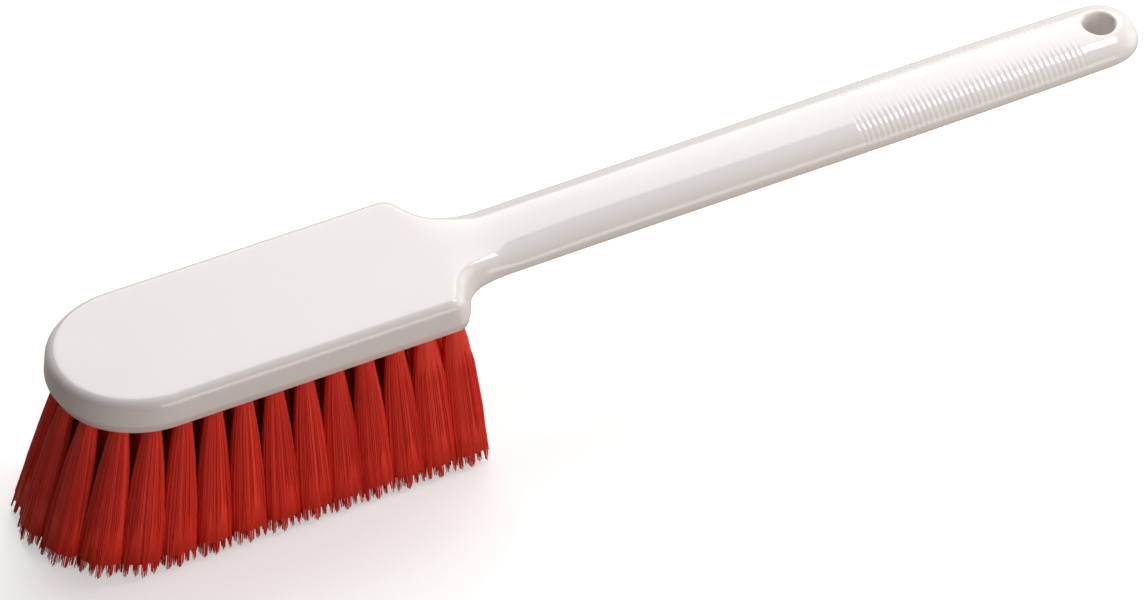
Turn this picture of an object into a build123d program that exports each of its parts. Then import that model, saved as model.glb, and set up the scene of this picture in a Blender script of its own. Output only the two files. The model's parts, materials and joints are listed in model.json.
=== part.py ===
from build123d import *
import os
from math import atan, atan2, cos, degrees, pi, radians, sin, tan

os.makedirs("parts", exist_ok=True)

# Long-handled wash brush. One plastic moulding is both the block and the handle. Tufts of
# filament are folded over flat wire staples and driven into blind holes in the block.
# X runs from the nose of the block to the end of the handle, Y across, Z up, bristles down.
# While it is modelled, X = 0 is the nose, Y = 0 the centre plane and Z = 0 the underside of the
# block. All lengths are in millimetres.

# Block
overall_length = 500.0  # nose of the block to the end of the handle
block_width = 73.0  # at the parting line
block_thickness = 17.7
nose_length = 40.5  # rounded front
nose_side_stretch = 1.875  # how much faster than the nose the arcs beside its tip grow
side_length = 122.8  # straight side, from the nose to the shoulder
shoulder_angle = 62.0  # slope of the shoulder to the centre plane, degrees
shoulder_radius = 9.2  # outer corner of the shoulder
hollow_radius = 9.0  # hollow at the foot of the shoulder
hollow_end_angle = 10.0  # where the hollow opens into the sweep of the neck, degrees
neck_radius = 60.0  # sweep from the hollow to the neck
sweep_start = 1.5  # past the end of the hollow, where the block's own section ends
neck_width = 35.4
parting_height = 5.9  # parting line above the underside
side_draft = 3.0  # above the parting line, degrees from upright
rim_draft = 23.0  # below the parting line, degrees from upright
top_rounding = 4.7

# Handle
neck_thickness = 17.9
handle_width = 35.9
handle_thickness = 17.7
neck_to_handle = 40.0  # neck to the full width of the handle
grip_width = 36.9  # middle of the grip
grip_thickness = 17.9
handle_end_width = 34.8  # where the rounded end starts
handle_end_thickness = 16.8
handle_drop = 0.7  # handle axis below the middle of the block, at the neck
handle_tilt = 0.5  # rise of the handle towards its end, degrees
oval_past_neck = 16.0  # the section has become the handle's oval here
end_dome_length = 19.0
end_dome_power = 2.5  # a little squarer than an ellipse

# Grip: shallow grooves that fade out at the sides of the handle
rib_count = 44
rib_pitch = 2.55
rib_depth = 0.3
rib_sides = 16  # flats that stand for the oval in each rib
ribs_to_end = 26.0  # last rib to the end of the handle
dome_reaches = (0.25, 0.45, 0.62, 0.76, 0.87, 0.94, 0.98)  # sections of the rounded end
hole_diameter = 14.0  # for hanging
hole_to_end = 16.0
hole_rounding = 1.3

# Tuft field
tuft_hole_diameter = 6.4
tuft_hole_depth = 13.5
tuft_clearance = 0.15  # tuft to the wall of its hole
edge_to_tufts = 8.0  # side of the block to the axes of the outer tufts
tuft_pitch = 13.6  # along the block
nose_pitch = 13.2  # closest spacing round the nose
rear_row_past_side = 4.7  # rearmost tufts past the end of the straight side
tuft_tip_diameter = 12.8
bristle_length = 70.0  # underside of the block to the trimmed tips
side_lean = 10.0  # outward lean of the outer tufts at the sides, over the bristle length
nose_lean = 18.0  # forward lean of the foremost tuft
rear_lean = 3.0  # rearward lean of the last row
lean_power = 1.5  # how the lean grows from the middle of the block to its ends
tuft_sides = 8

# Staple: flat wire on edge across the fold of the tuft
staple_height = 2.4
staple_thickness = 0.6
staple_clearance = 0.05  # staple to the filaments round it and to the wall of the hole
fold_thickness = 1.4  # filaments between the staple and the bottom of the hole

half_width = block_width / 2
half_neck = neck_width / 2
nose_past_circle = nose_length - half_width
side_past_nose = nose_side_stretch * nose_past_circle
nose_side_radius = half_width + side_past_nose
tip_share = (2 * nose_side_stretch - 1) / (2 * nose_side_stretch - 2)
nose_tip_radius = nose_length - tip_share * nose_past_circle
nose_angle = degrees(atan(nose_side_stretch / tip_share))
shoulder_x = nose_length + side_length
shoulder_turn = radians(shoulder_angle)
hollow_turn = radians(hollow_end_angle)
shoulder_straight = (
    half_width
    - half_neck
    - shoulder_radius * (1 - cos(shoulder_turn))
    - hollow_radius * (cos(hollow_turn) - cos(shoulder_turn))
    - neck_radius * (1 - cos(hollow_turn))
)
hollow_x = (
    shoulder_x
    + shoulder_radius * sin(shoulder_turn)
    + shoulder_straight / tan(shoulder_turn)
    + hollow_radius * (sin(shoulder_turn) - sin(hollow_turn))
)
neck_x = hollow_x + neck_radius * sin(hollow_turn)
sweep_x = hollow_x + sweep_start
oval_x = neck_x + oval_past_neck
dome_x = overall_length - end_dome_length
ribs_end_x = overall_length - ribs_to_end
ribs_x = ribs_end_x - rib_count * rib_pitch
middle_z = block_thickness / 2


def handle_axis_z(x):
    """Height of the handle's axis above the underside of the block."""
    return middle_z - handle_drop + (x - neck_x) * tan(radians(handle_tilt))


def block_outline(inset, z):
    """Plan outline of the block at a height, drawn in by the inset, with a stub past the neck."""
    corner = shoulder_radius - inset
    hollow = hollow_radius + inset
    side = half_width - inset
    neck = half_neck - inset
    stub_x = neck_x + half_neck
    corner_centre = Vector(shoulder_x, half_width - shoulder_radius)
    neck_centre = Vector(neck_x, half_neck + neck_radius)
    across_slope = Vector(sin(shoulder_turn), cos(shoulder_turn))
    across_sweep = Vector(sin(hollow_turn), cos(hollow_turn))
    hollow_centre = neck_centre - across_sweep * (neck_radius - hollow_radius)
    upper = [
        CenterArc((nose_length, -side_past_nose), nose_side_radius - inset, 90, 90 - nose_angle),
        Line((nose_length, side), (shoulder_x, side)),
        CenterArc(corner_centre, corner, 90, -shoulder_angle),
        Line(corner_centre + across_slope * corner, hollow_centre - across_slope * hollow),
        CenterArc(hollow_centre, hollow, 270 - shoulder_angle, shoulder_angle - hollow_end_angle),
        CenterArc(neck_centre, neck_radius + inset, 270 - hollow_end_angle, hollow_end_angle),
        Line((neck_x, neck), (stub_x, neck)),
    ]
    nose = CenterArc((nose_tip_radius, 0), nose_tip_radius - inset, 180 - nose_angle, 2 * nose_angle)
    end = Line((stub_x, neck), (stub_x, -neck))
    lower = [mirror(edge, Plane.XZ) for edge in upper]
    return Pos(0, 0, z) * make_face(Curve() + [nose, *upper, end, *lower])


def make_block():
    """Block, with drafted sides that meet at the parting line and a rounded top edge."""
    rim_inset = parting_height * tan(radians(rim_draft))
    top_inset = (block_thickness - parting_height) * tan(radians(side_draft))
    rim = loft([block_outline(rim_inset, 0), block_outline(0, parting_height)], ruled=True)
    upper = loft([block_outline(0, parting_height), block_outline(top_inset, block_thickness)], ruled=True)
    top_edges = upper.faces().sort_by(Axis.Z)[-1].edges().sort_by(Axis.X)[:-1]
    upper = fillet(top_edges, top_rounding)
    return split(rim + upper, Plane.YZ.offset(sweep_x), keep=Keep.BOTTOM)


def neck_half_width(x):
    """Half width of the neck at its parting line, past the hollow of the shoulder."""
    if x > neck_x:
        return half_neck
    return half_neck + neck_radius - (neck_radius**2 - (neck_x - x) ** 2) ** 0.5


def oval_angle(point):
    """Place round the handle's oval, in radians, that a point of the sweep's section moves to."""
    return atan2((point.Z - middle_z) / middle_z, point.Y / neck_half_width(sweep_x))


def neck_section(sweep_face, x, share):
    """Section of the neck at x, a mix of the block's section and the handle's oval."""
    narrowing = neck_half_width(x) / neck_half_width(sweep_x)
    width, thickness = handle_size(x)

    def moved(point):
        angle = oval_angle(point)
        oval = Vector(0, width / 2 * cos(angle), handle_axis_z(x) + thickness / 2 * sin(angle))
        flat = Vector(0, point.Y * narrowing, point.Z)
        return Vector(x, 0, 0) + flat * (1 - share) + oval * share

    span_count = 4
    near_end = 0.001
    curves = []
    for edge in sweep_face.outer_wire().edges():
        points = [moved(edge.position_at(step / span_count)) for step in range(span_count + 1)]
        start = moved(edge.position_at(near_end)) - points[0]
        finish = points[-1] - moved(edge.position_at(1 - near_end))
        curves.append(Spline(points, tangents=[start.normalized(), finish.normalized()]))
    return Face(Wire(curves))


def handle_plane(x):
    """Plane across the handle at x, on its axis."""
    return Plane((x, 0, handle_axis_z(x)), x_dir=(0, 1, 0), z_dir=(1, 0, 0))


def neck_end_section(sweep_face):
    """Oval at the end of the neck, divided where the edges of the sweep's section end."""
    width, thickness = handle_size(oval_x)
    arcs = []
    for edge in sweep_face.outer_wire().edges():
        start = degrees(oval_angle(edge.position_at(0)))
        turn = degrees(oval_angle(edge.position_at(1))) - start
        if abs(turn) > 180:
            turn -= 360 * turn / abs(turn)
        arc = EllipticalCenterArc((0, 0), width / 2, thickness / 2, start, arc_size=turn)
        arcs.append(handle_plane(oval_x) * arc)
    return Face(Wire(arcs))


def oval(x, width, thickness):
    """Section of the plain handle at x."""
    return handle_plane(x) * Ellipse(width / 2, thickness / 2)


def rib_section(x, depth):
    """Section of the grip at x, with short flats for the oval."""
    width, thickness = handle_size(x)
    corners = []
    for side in range(rib_sides):
        angle = 2 * pi * (side + 0.5) / rib_sides
        corners.append((width / 2 * cos(angle), (thickness / 2 - depth) * sin(angle)))
    return handle_plane(x) * make_face(Polyline(*corners, close=True))


def make_handle(sweep_face):
    """Neck, ribbed handle and rounded end, from the block's section in the sweep onwards."""
    neck_steps = 7
    neck_sections = [sweep_face]
    for step in range(1, neck_steps):
        part = step / neck_steps
        share = part * part * (3 - 2 * part)
        neck_sections.append(neck_section(sweep_face, sweep_x + (oval_x - sweep_x) * part, share))
    neck_sections.append(neck_end_section(sweep_face))

    widening = [neck_x + neck_to_handle * share for share in (0.5, 1, 2)]
    plain = loft([oval(x, *handle_size(x)) for x in (oval_x, *widening, ribs_x)], ruled=True)
    rib_sections = []
    for rib in range(rib_count):
        x = ribs_x + rib * rib_pitch
        rib_sections += [rib_section(x, 0), rib_section(x + rib_pitch / 2, rib_depth)]
    ribs = loft(rib_sections + [rib_section(ribs_end_x, 0)], ruled=True)
    end = loft([oval(x, *handle_size(x)) for x in (ribs_end_x, dome_x)], ruled=True)

    dome_sections = [oval(dome_x, *handle_size(dome_x))]
    for reach in dome_reaches:
        size = (1 - reach**end_dome_power) ** (1 / end_dome_power)
        x = dome_x + end_dome_length * reach / dome_reaches[-1]
        dome_sections.append(oval(x, handle_end_width * size, handle_end_thickness * size))
    return [loft(neck_sections), plain, ribs, end, loft(dome_sections)]


def handle_size(x):
    """Width and thickness of the handle's oval at x."""
    stations = [
        (neck_x, neck_width, neck_thickness),
        (neck_x + neck_to_handle, handle_width, handle_thickness),
        ((ribs_x + ribs_end_x) / 2, grip_width, grip_thickness),
        (dome_x, handle_end_width, handle_end_thickness),
    ]
    for (x0, *size0), (x1, *size1) in zip(stations, stations[1:]):
        if x <= x1:
            part = max(0, (x - x0) / (x1 - x0))
            share = part * part * (3 - 2 * part)
            return [a + (b - a) * share for a, b in zip(size0, size1)]
    return stations[-1][1:]


def make_body():
    """Block and handle in one moulding, with the hanging hole through the end of the handle."""
    block = make_block()
    sweep_face = block.faces().sort_by(Axis.X)[-1]
    body = block + make_handle(sweep_face)
    hole_x = overall_length - hole_to_end
    hole = Pos(hole_x, 0, handle_axis_z(hole_x)) * Cylinder(hole_diameter / 2, 2 * handle_thickness)
    body -= hole
    wall = body.faces().filter_by(GeomType.CYLINDER).sort_by(Axis.X)[-1]
    return fillet(wall.edges().filter_by(GeomType.BSPLINE), hole_rounding)


def tuft_plane(x, y):
    """Plane at the mouth of a tuft hole. Its normal points up the hole, along the tuft's lean."""
    middle_x = (rear_row_x + nose_length) / 2
    if x < middle_x:
        part = (middle_x - x) / (middle_x - edge_to_tufts)
        lean_x = -nose_lean * part**lean_power
    else:
        part = (x - middle_x) / (rear_row_x - middle_x)
        lean_x = rear_lean * part**lean_power
    lean_y = side_lean * y / outer_y
    return Plane((x, y, 0), x_dir=(0, 1, 0), z_dir=(-lean_x, -lean_y, bristle_length))


def nose_places(row_x, side_y):
    """Tufts spaced evenly round the nose, between the foremost tufts of the two sides."""
    inset = half_width - side_y
    path = Wire(
        [
            Line((row_x, side_y), (nose_length, side_y)),
            EllipticalCenterArc((nose_length, 0), nose_length - inset, side_y, 90, arc_size=180),
            Line((nose_length, -side_y), (row_x, -side_y)),
        ]
    )
    spaces = int(path.length / nose_pitch)
    return [path.position_at(step / spaces) for step in range(1, spaces)]


def tuft_polygon(plane, radius):
    """Cross-section of a tuft or of its hole, with as many sides as stand for the round."""
    return plane * RegularPolygon(radius, tuft_sides)


def make_tuft(plane):
    """Bundle of filaments that fills its hole, fans out below and is trimmed level at the tips."""
    root_radius = tuft_hole_diameter / 2 - tuft_clearance
    length = bristle_length / plane.z_dir.Z
    flat_share = cos(pi / tuft_sides)
    spread = (tuft_tip_diameter / 2 - root_radius) * flat_share
    downwards = Plane(plane.origin, x_dir=plane.x_dir, z_dir=-plane.z_dir)
    bundle = extrude(tuft_polygon(plane, root_radius), tuft_hole_depth - tuft_clearance)
    fan = extrude(
        tuft_polygon(downwards, root_radius),
        length + tuft_tip_diameter / 2,
        taper=-degrees(atan2(spread, length)),
    )
    tuft = split(bundle + fan, Plane.XY.offset(-bristle_length), keep=Keep.TOP)
    slot = Box(
        tuft_hole_diameter,
        staple_thickness + 2 * staple_clearance,
        staple_height + 2 * staple_clearance,
    )
    return tuft - staple_place(plane) * slot


def staple_place(plane):
    """Middle of the staple of a tuft hole."""
    depth = tuft_hole_depth - fold_thickness - staple_height / 2
    return plane.offset(depth).location


def make_staple(plane):
    """Flat wire on edge, cut to the width of the hole."""
    width = tuft_hole_diameter * cos(pi / tuft_sides) - 4 * staple_clearance
    return staple_place(plane) * Box(width, staple_thickness, staple_height)


def make_tuft_hole(plane):
    """Blind hole along the tuft's lean, open at the underside."""
    mouth = tuft_polygon(plane.offset(-tuft_hole_diameter), tuft_hole_diameter / 2)
    return extrude(mouth, tuft_hole_depth + tuft_hole_diameter)


def tuft_rows():
    """Places of the tufts, as named rows across the block."""
    rows = {}
    for row in range(side_rows):
        x = rear_row_x - row * tuft_pitch
        places = [(x, outer_y), (x, 0), (x, -outer_y)]
        if row < side_rows - 1:
            between_x = x - tuft_pitch / 2
            places += [(between_x, outer_y / 2), (between_x, -outer_y / 2)]
        rows[f"row_{row + 1:02d}"] = places
    front_x = rear_row_x - (side_rows - 1) * tuft_pitch
    rows["nose_outer"] = [(place.X, place.Y) for place in nose_places(front_x, outer_y)]
    inner = nose_places(front_x + tuft_pitch / 2, outer_y / 2)
    rows["nose_inner"] = [(place.X, place.Y) for place in inner] + [(front_x - tuft_pitch, 0)]
    return rows


rear_row_x = shoulder_x + rear_row_past_side
outer_y = half_width - edge_to_tufts
side_rows = int((rear_row_x - nose_length) / tuft_pitch) + 1

body = make_body()
pieces = {}
holes = []
for row, places in tuft_rows().items():
    planes = [tuft_plane(x, y) for x, y in places]
    holes += [make_tuft_hole(plane) for plane in planes]
    pieces[f"tufts_{row}"] = Compound([make_tuft(plane) for plane in planes])
    pieces[f"staples_{row}"] = Compound([make_staple(plane) for plane in planes])
pieces["brush_body"] = body - holes

# The finished brush stands on its bristle tips, with the origin under the middle of its box.
box = Compound(list(pieces.values())).bounding_box()
stand = Pos(-box.center().X, -box.center().Y, -box.min.Z)
for name, piece in pieces.items():
    placed = stand * piece
    placed.label = name
    export_step(placed, f"parts/{name}.step")

hole_x = overall_length - hole_to_end
print("hanging hole", stand * Pos(hole_x, 0, handle_axis_z(hole_x)))
print("back face", stand * Pos((nose_length + shoulder_x) / 2, 0, block_thickness))
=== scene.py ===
import json
import math
import random

import bmesh
import bpy
from mathutils import Matrix, Vector


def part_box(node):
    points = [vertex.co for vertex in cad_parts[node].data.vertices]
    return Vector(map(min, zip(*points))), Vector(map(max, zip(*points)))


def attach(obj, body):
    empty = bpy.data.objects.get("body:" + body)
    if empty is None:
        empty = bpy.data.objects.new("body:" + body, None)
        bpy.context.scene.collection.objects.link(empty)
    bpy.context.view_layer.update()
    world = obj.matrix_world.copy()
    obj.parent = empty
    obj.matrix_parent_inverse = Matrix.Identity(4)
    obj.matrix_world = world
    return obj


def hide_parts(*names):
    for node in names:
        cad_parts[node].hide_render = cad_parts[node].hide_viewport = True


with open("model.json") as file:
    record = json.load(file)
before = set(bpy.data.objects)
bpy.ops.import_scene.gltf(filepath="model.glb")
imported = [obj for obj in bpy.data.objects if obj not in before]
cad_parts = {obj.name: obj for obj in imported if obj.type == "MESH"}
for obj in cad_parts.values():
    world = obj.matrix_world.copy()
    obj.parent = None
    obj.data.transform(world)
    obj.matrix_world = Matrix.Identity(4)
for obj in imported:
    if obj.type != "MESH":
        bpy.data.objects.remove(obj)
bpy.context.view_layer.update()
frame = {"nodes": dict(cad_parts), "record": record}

mounts = {mount["name"]: mount for mount in frame["record"]["mounts"]}
mm = 0.001

# Brush body. Block and handle are one moulding in off-white gloss plastic. The block has drafted
# sides that meet at a parting line and a rounded top edge, and its shoulders sweep into an oval
# handle with a ribbed grip, a rounded end and a hanging hole.
body_low, body_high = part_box("brush_body")
body_length = body_high.x - body_low.x
half_width = 36.5 * mm
block_thickness = 17.7 * mm
nose_x = body_low.x
underside_z = mounts["back_face"]["pos_m"][2] - block_thickness
middle_z = block_thickness / 2
parting_height = 5.9 * mm
nose_length = 40.5 * mm
nose_side_radius = 44 * mm
nose_tip_radius = 34.2 * mm
rim_slope = math.tan(math.radians(23))
side_slope = math.tan(math.radians(3))
rim_edge_radius = 0.7 * mm
top_radius = 4.7 * mm
shoulder_x = 163.3 * mm
shoulder_radius = 9.2 * mm
shoulder_turn = math.radians(62)
hollow_turn = math.radians(11)
hollow_radius = 14.2 * mm
sweep_radius = 130 * mm
neck_half = 18.35 * mm
shoulder_slide = 6.4 * mm  # how far the outline has slid back where the shoulder meets the underside
slope_height = (
    half_width - neck_half
    - shoulder_radius * (1 - math.cos(shoulder_turn))
    - hollow_radius * (math.cos(hollow_turn) - math.cos(shoulder_turn))
    - sweep_radius * (1 - math.cos(hollow_turn))
)
neck_x = (
    shoulder_x
    + shoulder_radius * math.sin(shoulder_turn)
    + slope_height / math.tan(shoulder_turn)
    + hollow_radius * (math.sin(shoulder_turn) - math.sin(hollow_turn))
    + sweep_radius * math.sin(hollow_turn)
)
sweep_centre = Vector((neck_x, neck_half + sweep_radius))
hollow_centre = sweep_centre - (sweep_radius - hollow_radius) * Vector(
    (math.sin(hollow_turn), math.cos(hollow_turn))
)


def side_at(x, inset):
    """Half width of the block at x, on the line drawn in from its side by the inset."""
    corner, hollow, sweep = shoulder_radius - inset, hollow_radius + inset, sweep_radius + inset
    corner_y = half_width - shoulder_radius
    slope_start = shoulder_x + corner * math.sin(shoulder_turn)
    if x <= shoulder_x:
        return half_width - inset
    if x <= slope_start:
        return corner_y + math.sqrt(corner**2 - (x - shoulder_x) ** 2)
    if x <= hollow_centre.x - hollow * math.sin(shoulder_turn):
        start_y = corner_y + corner * math.cos(shoulder_turn)
        return start_y - (x - slope_start) * math.tan(shoulder_turn)
    if x <= hollow_centre.x - hollow * math.sin(hollow_turn):
        return hollow_centre.y - math.sqrt(hollow**2 - (hollow_centre.x - x) ** 2)
    if x <= neck_x:
        return sweep_centre.y - math.sqrt(sweep**2 - (neck_x - x) ** 2)
    return neck_half - inset


# Half of the block's section, from the middle of the underside round the side to the middle of
# the top: each level is a share of the half width, an inset from the side, and a height.
flat_steps, rim_steps, side_steps, round_steps = 20, 4, 7, 9
below_parting, above_parting = parting_height * 0.97, parting_height * 1.03
rim_inset = parting_height * rim_slope
top_edge_z = block_thickness - top_radius
top_inset = (top_edge_z - parting_height) * side_slope
underside_inset = rim_inset + rim_edge_radius * 0.6
levels = [(step / flat_steps, underside_inset, 0) for step in range(flat_steps + 1)]
levels.append((1, rim_inset + rim_edge_radius * 0.15, rim_edge_radius * 0.2))
for step in range(rim_steps):
    z = rim_edge_radius + (below_parting - rim_edge_radius) * step / (rim_steps - 1)
    levels.append((1, (parting_height - z) * rim_slope, z))
for step in range(side_steps):
    z = above_parting + (top_edge_z - above_parting) * step / (side_steps - 1)
    levels.append((1, (z - parting_height) * side_slope, z))
for step in range(1, round_steps + 1):
    turn = math.radians(90) * step / round_steps
    inset = top_inset + top_radius * (1 - math.cos(turn))
    levels.append((1, inset, block_thickness - top_radius * (1 - math.sin(turn))))
for step in range(1, flat_steps + 1):
    levels.append((1 - step / flat_steps, top_inset + top_radius, block_thickness))
oval_angles = [
    math.atan2((z - middle_z) / middle_z, share * (neck_half - inset) / (neck_half - rim_edge_radius))
    for share, inset, z in levels
]

# The handle: half width and half thickness along it, a slight rise, and a rounded end. The
# first and last stations only steer the curve through the others.
blend_start, blend_end = 167.3 * mm, 203.5 * mm
handle_stations = [
    (150 * mm, 18.15 * mm, 8.1 * mm),
    (neck_x, neck_half, 8.25 * mm),
    (neck_x + 35 * mm, 18.05 * mm, 8.8 * mm),
    (310 * mm, 18.1 * mm, 8.9 * mm),
    (395 * mm, 18.45 * mm, 8.95 * mm),
    (455 * mm, 18 * mm, 8.7 * mm),
    (500 * mm, 17.2 * mm, 8.3 * mm),
    (560 * mm, 17 * mm, 8 * mm),
]
handle_drop = 0.7 * mm  # handle's axis below the middle of the block, at the neck
handle_rise = math.tan(math.radians(0.5))
dome_length = 19 * mm
dome_power = 2.5  # a little squarer than an ellipse
dome_x = body_length - dome_length


def along(stations, x):
    """Smooth curve through the stations, read at x."""
    place = max(i for i in range(1, len(stations) - 2) if stations[i][0] <= x or i == 1)
    a, b, c, d = stations[place - 1 : place + 3]
    t = (x - b[0]) / (c[0] - b[0])
    values = []
    for k in range(1, len(b)):
        start = (c[k] - a[k]) / (c[0] - a[0]) * (c[0] - b[0])
        finish = (d[k] - b[k]) / (d[0] - b[0]) * (c[0] - b[0])
        values.append(
            (2 * t**3 - 3 * t**2 + 1) * b[k] + (t**3 - 2 * t**2 + t) * start
            + (3 * t**2 - 2 * t**3) * c[k] + (t**3 - t**2) * finish
        )
    return values


def smooth(share):
    """Eases from 0 to 1."""
    share = min(1, max(0, share))
    return share * share * (3 - 2 * share)


# Grip ribs: shallow grooves across the handle, which fade out at its sides and over its crest.
rib_start, rib_pitch, rib_count = 362 * mm, 2.55 * mm, 44
rib_depth = 0.16 * mm
rib_sharpness = 1.2
rib_phases = (0, 0.14, 0.32, 0.5, 0.68, 0.86)
rib_end = rib_start + rib_pitch * rib_count
first_fade, last_fade = 4 * mm, 8 * mm


def rib_at(x, angle):
    """Depth of the rib grooves at x, at an angle round the handle."""
    if not rib_start < x < rib_end:
        return 0
    phase = (x - rib_start) / rib_pitch % 1
    groove = (1 - abs(math.sin(math.pi * phase))) ** rib_sharpness
    height = abs(math.sin(angle))
    from_side = smooth((height - 0.05) / 0.3)
    near_crest = smooth((height - 0.88) / 0.12)
    ends = smooth((x - rib_start) / first_fade) * smooth((rib_end - x) / last_fade)
    return rib_depth * groove * from_side * (1 - 0.9 * near_crest) * ends


def handle_axis_z(x):
    """Height of the handle's axis at x."""
    return middle_z - handle_drop + (x - neck_x) * handle_rise


def dome_size(x):
    """Size of the section at x, which shrinks to nothing over the rounded end."""
    reach = min(0.9995, max(0, (x - dome_x) / dome_length))
    return (1 - reach**dome_power) ** (1 / dome_power)


def section_point(x, level, angle):
    """Point of the moulding's section at x: block, oval, or the mix of the two at the neck."""
    share, inset, z = level
    slide = shoulder_slide * (1 - z / block_thickness)
    flat = Vector((x, share * side_at(x - slide, inset), z))
    mix = smooth((x - blend_start) / (blend_end - blend_start))
    if mix == 0:
        return flat
    wide, thick = along(handle_stations, x)
    groove = rib_at(x, angle)
    size = dome_size(x)
    out = (wide * size - groove) * math.cos(angle)
    rise = (thick * size - groove) * math.sin(angle)
    return flat.lerp(Vector((x, out, handle_axis_z(x) + rise)), mix)


def ring_points(x):
    """The whole section at x: up the far side and down the near side."""
    half = [section_point(x, level, angle) for level, angle in zip(levels, oval_angles)]
    return half + [Vector((p.x, -p.y, p.z)) for p in half[-2:0:-1]]


# Places of the sections: coarse along the block and the plain handle, fine through the neck, and
# several to each rib.
neck_start, neck_step, neck_steps = 160 * mm, 0.8 * mm, 68
block_steps, bar_steps, end_steps, dome_steps = 20, 38, 6, 25
neck_end = neck_start + neck_step * neck_steps
stations = []
for step in range(1, block_steps + 1):
    stations.append(nose_length + (neck_start - nose_length) * step / block_steps)
for step in range(1, neck_steps + 1):
    stations.append(neck_start + neck_step * step)
for step in range(1, bar_steps):
    stations.append(rib_start - (rib_start - neck_end) * (1 - step / bar_steps))
for rib in range(rib_count):
    stations += [rib_start + rib_pitch * (rib + phase) for phase in rib_phases]
for step in range(end_steps + 1):
    stations.append(rib_end + (dome_x - rib_end) * step / end_steps)
for step in range(1, dome_steps):
    stations.append(dome_x + dome_length * math.sin(math.radians(90) * step / dome_steps))

nose_side_past = nose_side_radius - half_width
nose_tip_past = nose_length - nose_tip_radius


def nose_reach(angle):
    """Reach of the nose from the middle of its base: side arcs, then a smaller arc at the tip."""
    past = nose_side_past * math.cos(angle)
    side = math.sqrt(nose_side_radius**2 - (nose_side_past * math.sin(angle)) ** 2) - past
    past = nose_tip_past * math.sin(angle)
    tip = math.sqrt(nose_tip_radius**2 - (nose_tip_past * math.cos(angle)) ** 2) + past
    tangent = math.atan2(nose_side_past, nose_tip_past)
    touch_x = nose_tip_past + nose_tip_radius * math.cos(tangent)
    touch_y = nose_tip_radius * math.sin(tangent)
    return side if angle < math.atan2(touch_x, touch_y) else tip


bm = bmesh.new()
half_ring = [bm.verts.new(section_point(nose_length, level, 0)) for level in levels]
profile = [bm.edges.new(pair) for pair in zip(half_ring, half_ring[1:])]
bmesh.ops.spin(
    bm, geom=half_ring + profile, cent=(nose_length, 0, 0), axis=(0, 0, 1), dvec=(0, 0, 0),
    angle=math.pi, steps=64, use_merge=False,
)
bmesh.ops.remove_doubles(bm, verts=bm.verts, dist=1e-6)
for v in bm.verts:
    across = v.co - Vector((nose_length, 0, v.co.z))
    if across.length > 0:
        stretch = nose_reach(math.atan2(-across.x, abs(across.y))) / half_width
        v.co = v.co + across * (stretch - 1)


def grow(bm, rim):
    """Extrudes an open rim without moving it. Gives the new rim's edges and its vertices."""
    made = bmesh.ops.extrude_edge_only(bm, edges=rim)["geom"]
    edges = [g for g in made if isinstance(g, bmesh.types.BMEdge) and g.is_boundary]
    return edges, [g for g in made if isinstance(g, bmesh.types.BMVert)]


def grow_in_order(bm, rim, verts):
    """Extrudes an open rim and keeps the order of its vertices."""
    order = {tuple(v.co): place for place, v in enumerate(verts)}
    edges, grown = grow(bm, rim)
    return edges, sorted(grown, key=lambda v: order[tuple(v.co)])


ring = [e for e in bm.edges if e.is_boundary]
rim_verts = list(dict.fromkeys(v for e in ring for v in e.verts))
ring_verts = [
    min(rim_verts, key=lambda v: (v.co - p).length_squared) for p in ring_points(nose_length)
]
for x in stations:
    ring, ring_verts = grow_in_order(bm, ring, ring_verts)
    for v, p in zip(ring_verts, ring_points(x)):
        v.co = p
ring, tip_verts = grow(bm, ring)
for v in tip_verts:
    v.co = Vector((body_length, 0, handle_axis_z(body_length)))
bmesh.ops.remove_doubles(bm, verts=tip_verts, dist=1e-6)

# The hanging hole goes through the rounded end, with its two rims rounded over.
hole = mounts["hanging_hole"]
hole_x = hole["pos_m"][0] - nose_x
hole_wall_radius = hole["dims"]["r_mm"] * mm
hole_rounding = 1.5 * mm
rounding_steps = 6


def hole_rim(v, turn):
    """Puts a vertex on the hole's rounding, which turns from the handle's surface into the wall."""
    radius = hole_wall_radius + hole_rounding * (1 - math.sin(turn))
    out = Vector((v.co.x - hole_x, v.co.y)).normalized() * radius
    x = hole_x + out.x
    wide, thick = along(handle_stations, x)
    size = dome_size(x)
    height = thick * size * math.sqrt(1 - (out.y / (wide * size)) ** 2)
    height -= hole_rounding * (1 - math.cos(turn))
    side = 1 if v.co.z > handle_axis_z(x) else -1
    v.co = Vector((x, out.y, handle_axis_z(x) + side * height))


cut = hole_wall_radius + hole_rounding
inside = [v for v in bm.verts if (v.co.xy - Vector((hole_x, 0))).length < cut]
bmesh.ops.delete(bm, geom=inside, context="VERTS")
rim = [e for e in bm.edges if e.is_boundary]
for v in dict.fromkeys(v for e in rim for v in e.verts):
    hole_rim(v, 0)
for step in range(1, rounding_steps + 1):
    rim, rim_verts = grow(bm, rim)
    for v in rim_verts:
        hole_rim(v, math.radians(90) * step / rounding_steps)
bmesh.ops.bridge_loops(bm, edges=rim)
bmesh.ops.recalc_face_normals(bm, faces=bm.faces)
bmesh.ops.translate(bm, verts=bm.verts, vec=(nose_x, 0, underside_z))
body_mesh = bpy.data.meshes.new("brush_moulding")
bm.to_mesh(body_mesh)
bm.free()
body_mesh.shade_smooth()


def add(name, data):
    """An object in the scene, made from its mesh, curve, lamp or camera."""
    thing = bpy.data.objects.new(name, data)
    bpy.context.scene.collection.objects.link(thing)
    return thing


body = add("brush_moulding", body_mesh)
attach(body, "root")
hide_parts("brush_body")


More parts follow.
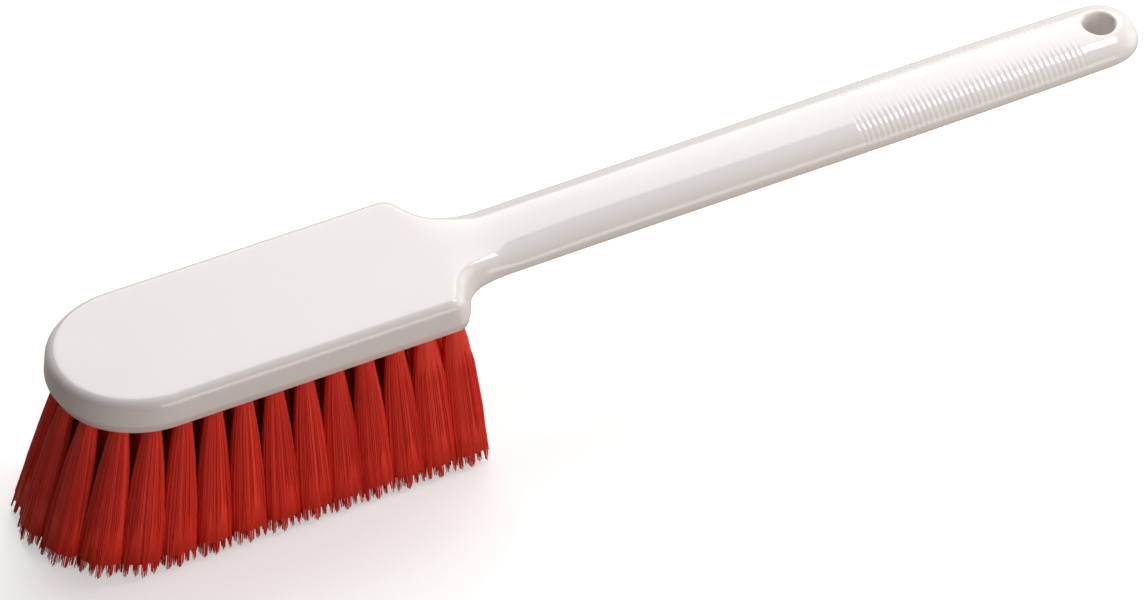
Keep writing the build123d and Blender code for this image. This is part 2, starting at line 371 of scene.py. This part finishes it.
class Wire:
    """A number in a material. Sums on it add their own Math nodes."""

    def __init__(self, paint, socket):
        self.paint, self.socket = paint, socket

    def sum(self, operation, first, second):
        return self.paint.node("ShaderNodeMath", {"operation": operation}, {0: first, 1: second})

    def __add__(self, other):
        return self.sum("ADD", self, other)

    def __radd__(self, other):
        return self.sum("ADD", other, self)

    def __mul__(self, other):
        return self.sum("MULTIPLY", self, other)

    def __rmul__(self, other):
        return self.sum("MULTIPLY", other, self)


class Paint:
    """One material, or the world, and its nodes."""

    def __init__(self, name, kind="materials"):
        self.owner = getattr(bpy.data, kind).new(name)
        self.owner.use_nodes = True
        self.tree = self.owner.node_tree
        self.tree.nodes.clear()

    def node(self, kind, settings, inputs, output=0):
        """Adds a node with its settings and its sockets' values or links, and gives one output."""
        made = self.tree.nodes.new(kind)
        for name, value in settings.items():
            setattr(made, name, value)
        for name, value in inputs.items():
            if isinstance(value, Wire):
                self.tree.links.new(value.socket, made.inputs[name])
            else:
                made.inputs[name].default_value = value
        return Wire(self, made.outputs[output] if made.outputs else None)

    def finish(self, shader, *pieces):
        """Ends the material in this shader and puts it on the pieces."""
        self.node("ShaderNodeOutputMaterial", {}, {"Surface": shader})
        for piece in pieces:
            piece.data.materials.clear()
            piece.data.materials.append(self.owner)


# Moulded plastic: nearly white, with faint cloudy shade, rub marks in the gloss and a soft
# mould texture.
plastic = Paint("off_white_plastic")
place = plastic.node("ShaderNodeTexCoord", {}, {}, "Object")
cloud = plastic.node("ShaderNodeTexNoise", {}, {"Vector": place, "Scale": 22, "Detail": 3})
stretch = plastic.node("ShaderNodeMapping", {}, {"Vector": place, "Scale": (60, 260, 260)})
rubs = plastic.node("ShaderNodeTexNoise", {}, {"Vector": stretch, "Scale": 1, "Detail": 4})
colour = plastic.node(
    "ShaderNodeMix", {"data_type": "RGBA"},
    {0: cloud, 6: (0.83, 0.795, 0.775, 1), 7: (0.875, 0.845, 0.825, 1)}, 2,
)
mould_texture = plastic.node("ShaderNodeTexNoise", {}, {"Vector": place, "Scale": 900, "Detail": 2})
skin = plastic.node(
    "ShaderNodeBump", {}, {"Strength": 0.04, "Distance": 0.1 * mm, "Height": mould_texture}
)
gloss = plastic.node(
    "ShaderNodeBsdfPrincipled", {},
    {"Base Color": colour, "Roughness": 0.05 + cloud * 0.03 + rubs * 0.03, "Normal": skin, "IOR": 1.48},
)
plastic.finish(gloss, body)

# Tufts. Each is a bundle of red plastic filaments, folded in half over a staple in a blind hole of
# the block. The bundle is tight at the hole, fans out below, and is trimmed to a ragged level.
filament = Paint("red_filament")
tone = filament.node("ShaderNodeAttribute", {"attribute_name": "tone"}, {}, "Fac")
red = filament.node(
    "ShaderNodeMix", {"data_type": "RGBA"},
    {0: tone, 6: (0.74, 0.026, 0.016, 1), 7: (1, 0.055, 0.026, 1)}, 2,
)
satin = filament.node(
    "ShaderNodeBsdfPrincipled", {}, {"Base Color": red, "Roughness": 0.32 + tone * 0.12, "IOR": 1.5}
)
bristle_length = underside_z
root_radius = 3.05 * mm
fan_across, fan_along, nose_fan_along = 6.1 * mm, 9.6 * mm, 10.4 * mm
filament_radius = 0.2 * mm
outer_filaments, tip_filaments = 110, 110
clumps_per_tuft = 22
bundle_sides = 56
bundle_radius = 0.93
bundle_top, bundle_levels = -0.04, (0.02, 0.12, 0.3, 0.5, 0.7, 0.9)
outer_levels, tip_levels = (-0.05, 0.3, 0.65, 1), (0.84, 0.9, 0.95, 1)
flute_depth, filament_sway = 0.022, 0.05
clump_turn, tip_turn = 2.4, 2.39996
gather_from, gather_share = 0.8, 0.5
trim_dome, trim_spread = 0.09, 0.012
edge_to_tufts, tuft_pitch, nose_pitch = 8 * mm, 13.6 * mm, 13.2 * mm
rear_row_x = shoulder_x + 4.7 * mm
outer_y = half_width - edge_to_tufts
side_rows = int((rear_row_x - nose_length) / tuft_pitch) + 1
side_lean, nose_lean, rear_lean = 10 * mm, 18 * mm, 3 * mm
lean_power = 1.5


def tuft_lean(x, y):
    """How far a tuft's tip stands out from its root, forwards and sideways."""
    middle = (rear_row_x + nose_length) / 2
    if x < middle:
        lean_x = -nose_lean * ((middle - x) / (middle - edge_to_tufts)) ** lean_power
    else:
        lean_x = rear_lean * ((x - middle) / (rear_row_x - middle)) ** lean_power
    return Vector((lean_x, side_lean * y / outer_y, -bristle_length))


def nose_places(row_x, side_y):
    """Tufts evenly spaced round the nose, between the foremost tufts of the two sides."""
    run = row_x - nose_length
    reach = nose_length - (half_width - side_y)
    side_points, nose_points = 200, 2000
    path = [Vector((row_x - run * i / side_points, side_y)) for i in range(side_points + 1)]
    for i in range(1, nose_points):
        turn = math.pi * i / nose_points
        path.append(Vector((nose_length - reach * math.sin(turn), side_y * math.cos(turn))))
    path += [Vector((nose_length + run * i / side_points, -side_y)) for i in range(side_points + 1)]
    walked = [0]
    for a, b in zip(path, path[1:]):
        walked.append(walked[-1] + (b - a).length)
    spaces = int(walked[-1] / nose_pitch)
    places = []
    for step in range(1, spaces):
        goal = walked[-1] * step / spaces
        places.append(path[min(range(len(path)), key=lambda i: abs(walked[i] - goal))])
    return [(p.x, p.y) for p in places]


rows = {}
for row in range(side_rows):
    x = rear_row_x - row * tuft_pitch
    rows[f"row_{row + 1:02d}"] = [(x, outer_y), (x, 0), (x, -outer_y)]
    if row < side_rows - 1:
        between_x = x - tuft_pitch / 2
        rows[f"row_{row + 1:02d}"] += [(between_x, outer_y / 2), (between_x, -outer_y / 2)]
front_x = rear_row_x - (side_rows - 1) * tuft_pitch
rows["nose_outer"] = nose_places(front_x, outer_y)
rows["nose_inner"] = nose_places(front_x + tuft_pitch / 2, outer_y / 2)
rows["nose_inner"].append((front_x - tuft_pitch, 0))


def tuft_along(x, y):
    """Direction in which a tuft fans widest: along the sides, and round the nose."""
    ahead = nose_length - x
    if ahead <= 0:
        return Vector((1, 0, 0))
    return Vector((y * nose_length / half_width, ahead * half_width / nose_length, 0)).normalized()


# The two rear rows open sooner than the others below the block.
fan_powers = {row: 0.36 if row in ("row_01", "row_02") else 0.62 for row in rows}
clumps = [
    Vector((math.cos(k * clump_turn), math.sin(k * clump_turn))) * math.sqrt((k + 0.5) / clumps_per_tuft)
    for k in range(clumps_per_tuft)
]
draw = random.Random(7)


def tone_between(value):
    """Keeps a filament's tone between dark and light."""
    return min(1, max(0, value))


tufts = []
for row, places in rows.items():
    # The middle of each tuft is one fluted shape. Loose filaments stand round it and at its
    # tips, where they gather in clumps.
    bm = bmesh.new()
    tone_layer = bm.verts.layers.float.new("tone")
    curve = bpy.data.curves.new(f"filaments_{row}", "CURVE")
    curve.dimensions = "3D"
    curve.bevel_depth = filament_radius
    curve.bevel_resolution = 0
    curve.use_fill_caps = True
    tones = []
    for x, y in places:
        lean = tuft_lean(x, y)
        root = Vector((nose_x + x, y, underside_z))
        fan_x = tuft_along(x, y)
        fan_y = Vector((-fan_x.y, fan_x.x, 0))
        fan_width = nose_fan_along if row.startswith("nose") else fan_along
        tuft_tone = draw.uniform(-0.1, 0.1)

        def place_at(share, down):
            """A point of this tuft: its share of the tuft's radius, and how far down it is."""
            narrow = (fan_x * share.x + fan_y * share.y) * (root_radius - filament_radius)
            wide = fan_x * share.x * fan_width + fan_y * share.y * fan_across
            opened = max(0, down) ** fan_powers[row]
            return root + narrow.lerp(wide, opened) + lean * down

        verts = bmesh.ops.create_circle(bm, segments=bundle_sides, radius=bundle_radius)["verts"]
        edges = list(dict.fromkeys(e for v in verts for e in v.link_edges))
        flutes = [draw.gauss(0, 1) for _ in verts]
        flute_tones = [
            tone_between(0.5 + tuft_tone + 0.16 * flute + draw.gauss(0, 0.1)) for flute in flutes
        ]
        shares = [v.co.xy * (1 + flute_depth * flute) for v, flute in zip(verts, flutes)]
        for v, share, flute_tone in zip(verts, shares, flute_tones):
            v.co = place_at(share, bundle_top)
            v[tone_layer] = flute_tone
        for down in bundle_levels:
            edges, verts = grow_in_order(bm, edges, verts)
            for v, share, flute_tone in zip(verts, shares, flute_tones):
                v.co = place_at(share, down)
                v[tone_layer] = flute_tone
        bmesh.ops.holes_fill(bm, edges=edges, sides=0)

        for count in range(outer_filaments + tip_filaments):
            outer = count < outer_filaments
            if outer:
                turn = math.radians(360) * (count + draw.uniform(-0.4, 0.4)) / outer_filaments
                spread = draw.uniform(0.9, 1)
                steps = outer_levels
            else:
                turn = count * tip_turn
                spread = math.sqrt((count - outer_filaments + 0.5) / tip_filaments) * 0.9
                steps = tip_levels
            share = Vector((math.cos(turn), math.sin(turn))) * spread
            clump = min(clumps, key=lambda c: (c - share).length)
            trim = 1 - trim_dome * (clump - share).length - abs(draw.gauss(0, trim_spread))
            drift = draw.uniform(-filament_sway, filament_sway)
            spline = curve.splines.new("POLY")
            spline.points.add(len(steps) - 1)
            for point, step in zip(spline.points, steps):
                gather = gather_share * max(0, (step - gather_from) / (1 - gather_from))
                here = share.lerp(clump * max(1, spread), gather)
                side = Vector((-share.y, share.x)) * drift * math.sin(math.pi * max(0, step))
                point.co = (*place_at(here + side, step * trim), 1)
                point.radius = 1 if step < 1 else 0.6
            tones.append(tone_between(0.5 + tuft_tone + draw.gauss(0, 0.2)))
    bmesh.ops.recalc_face_normals(bm, faces=bm.faces)
    holder = add(f"filaments_{row}_curve", curve)
    bpy.context.view_layer.update()
    built = holder.evaluated_get(bpy.context.evaluated_depsgraph_get())
    loose = bpy.data.meshes.new_from_object(built)
    bpy.data.objects.remove(holder)
    each = len(loose.vertices) // len(tones)
    values = [filament_tone for filament_tone in tones for _ in range(each)]
    loose.attributes.new("tone", "FLOAT", "POINT").data.foreach_set("value", values)
    bm.from_mesh(loose)
    shape = bpy.data.meshes.new(f"filaments_{row}")
    bm.to_mesh(shape)
    bm.free()
    shape.shade_smooth()
    tuft = add(f"filaments_{row}", shape)
    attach(tuft, "root")
    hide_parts(f"tufts_{row}")
    tufts.append(tuft)
filament.finish(satin, *tufts)

# Staples. Each is a short length of flat drawn steel wire, driven on edge across the fold of its
# tuft, and its ends bite into the wall of the hole.
steel = Paint("staple_steel")
place = steel.node("ShaderNodeTexCoord", {}, {}, "Object")
drawn = steel.node("ShaderNodeMapping", {}, {"Vector": place, "Scale": (4000, 300, 4000)})
marks = steel.node("ShaderNodeTexNoise", {}, {"Vector": drawn, "Scale": 1, "Detail": 3})
metal = steel.node(
    "ShaderNodeBsdfPrincipled", {},
    {"Base Color": (0.6, 0.6, 0.6, 1), "Metallic": 1, "Roughness": 0.25 + marks * 0.2},
)
steel.finish(metal, *[node for name, node in frame["nodes"].items() if name.startswith("staples")])

# Camera, floor and lamps: a long lens from the near side of the nose, a pale floor that keeps a
# soft shadow, and square softboxes with one small highlight lamp.
camera_distance, slide_right, slide_down = 5, 6.11 * mm, 33.73 * mm
turn, tilt, roll = math.radians(-27.563), math.radians(42.981), math.radians(0.976)
back = Vector((math.sin(turn) * math.cos(tilt), -math.cos(turn) * math.cos(tilt), math.sin(tilt)))
level_right = Vector((math.cos(turn), math.sin(turn), 0))
level_up = back.cross(level_right)
right = math.cos(roll) * level_right + math.sin(roll) * level_up
up = -math.sin(roll) * level_right + math.cos(roll) * level_up
aim = Vector((-0.011656, 0, 0.080))
spot = aim + back * camera_distance + right * slide_right - up * slide_down
camera = add("camera", bpy.data.cameras.new("camera"))
camera.matrix_world = Matrix((
    (right.x, up.x, back.x, spot.x),
    (right.y, up.y, back.y, spot.y),
    (right.z, up.z, back.z, spot.z),
    (0, 0, 0, 1),
))
camera.data.sensor_width = 36
camera.data.lens = 381.9
camera.data.clip_end = 100
bpy.context.scene.camera = camera

floor_half_size, floor_gap = 6, 0.3 * mm
bm = bmesh.new()
bmesh.ops.create_grid(bm, x_segments=1, y_segments=1, size=floor_half_size)
bmesh.ops.translate(bm, verts=bm.verts, vec=(0, 0, -floor_gap))
floor_mesh = bpy.data.meshes.new("floor")
bm.to_mesh(floor_mesh)
bm.free()
floor = add("floor", floor_mesh)
ground = Paint("pale_floor")
seen = ground.node("ShaderNodeLightPath", {}, {}, "Is Camera Ray")
pale = ground.node(
    "ShaderNodeMix", {"data_type": "RGBA"},
    {0: seen, 6: (0.37, 0.31, 0.27, 1), 7: (0.8, 0.8, 0.8, 1)}, 2,
)
glow = ground.node(
    "ShaderNodeMix", {"data_type": "RGBA"},
    {0: seen, 6: (0, 0, 0, 1), 7: (0.45, 0.45, 0.45, 1)}, 2,
)
matt = ground.node(
    "ShaderNodeBsdfPrincipled", {},
    {"Base Color": pale, "Roughness": 1, "Emission Color": glow, "Emission Strength": 1},
)
ground.finish(matt, floor)


def lamp(name, place, target, size, power, colour):
    """A square softbox that faces its target."""
    light = add(name, bpy.data.lights.new(name, "AREA"))
    light.data.size = size
    light.data.energy = power
    light.data.color = colour
    facing = (Vector(place) - Vector(target)).to_track_quat("Z", "Y")
    light.matrix_world = Matrix.Translation(place) @ facing.to_matrix().to_4x4()


lamp("key", (0.85, 1.62, 1.7), (0, 0, 0), 2.4, 57, (1, 0.99, 0.98))
lamp("front", (0.6, -2.1, 0.25), (0, 0, 0.05), 1.6, 29, (1, 0.94, 0.89))
lamp("right", (2.1, -0.2, 0.66), (0, 0, 0.05), 1.6, 12, (1, 0.97, 0.94))
lamp("highlight", (0.644, 0.0, 0.936), (0.2, 0, 0.08), 0.24, 2.4, (1, 1, 1))

studio = Paint("studio", "worlds")
bpy.context.scene.world = studio.owner
seen = studio.node("ShaderNodeLightPath", {}, {}, "Is Camera Ray")
white = studio.node(
    "ShaderNodeMix", {"data_type": "RGBA"},
    {0: seen, 6: (0.14, 0.14, 0.14, 1), 7: (1, 1, 1, 1)}, 2,
)
room = studio.node("ShaderNodeBackground", {}, {"Color": white, "Strength": 1})
studio.node("ShaderNodeOutputWorld", {}, {"Surface": room})
bpy.context.scene.view_settings.view_transform = "Standard"
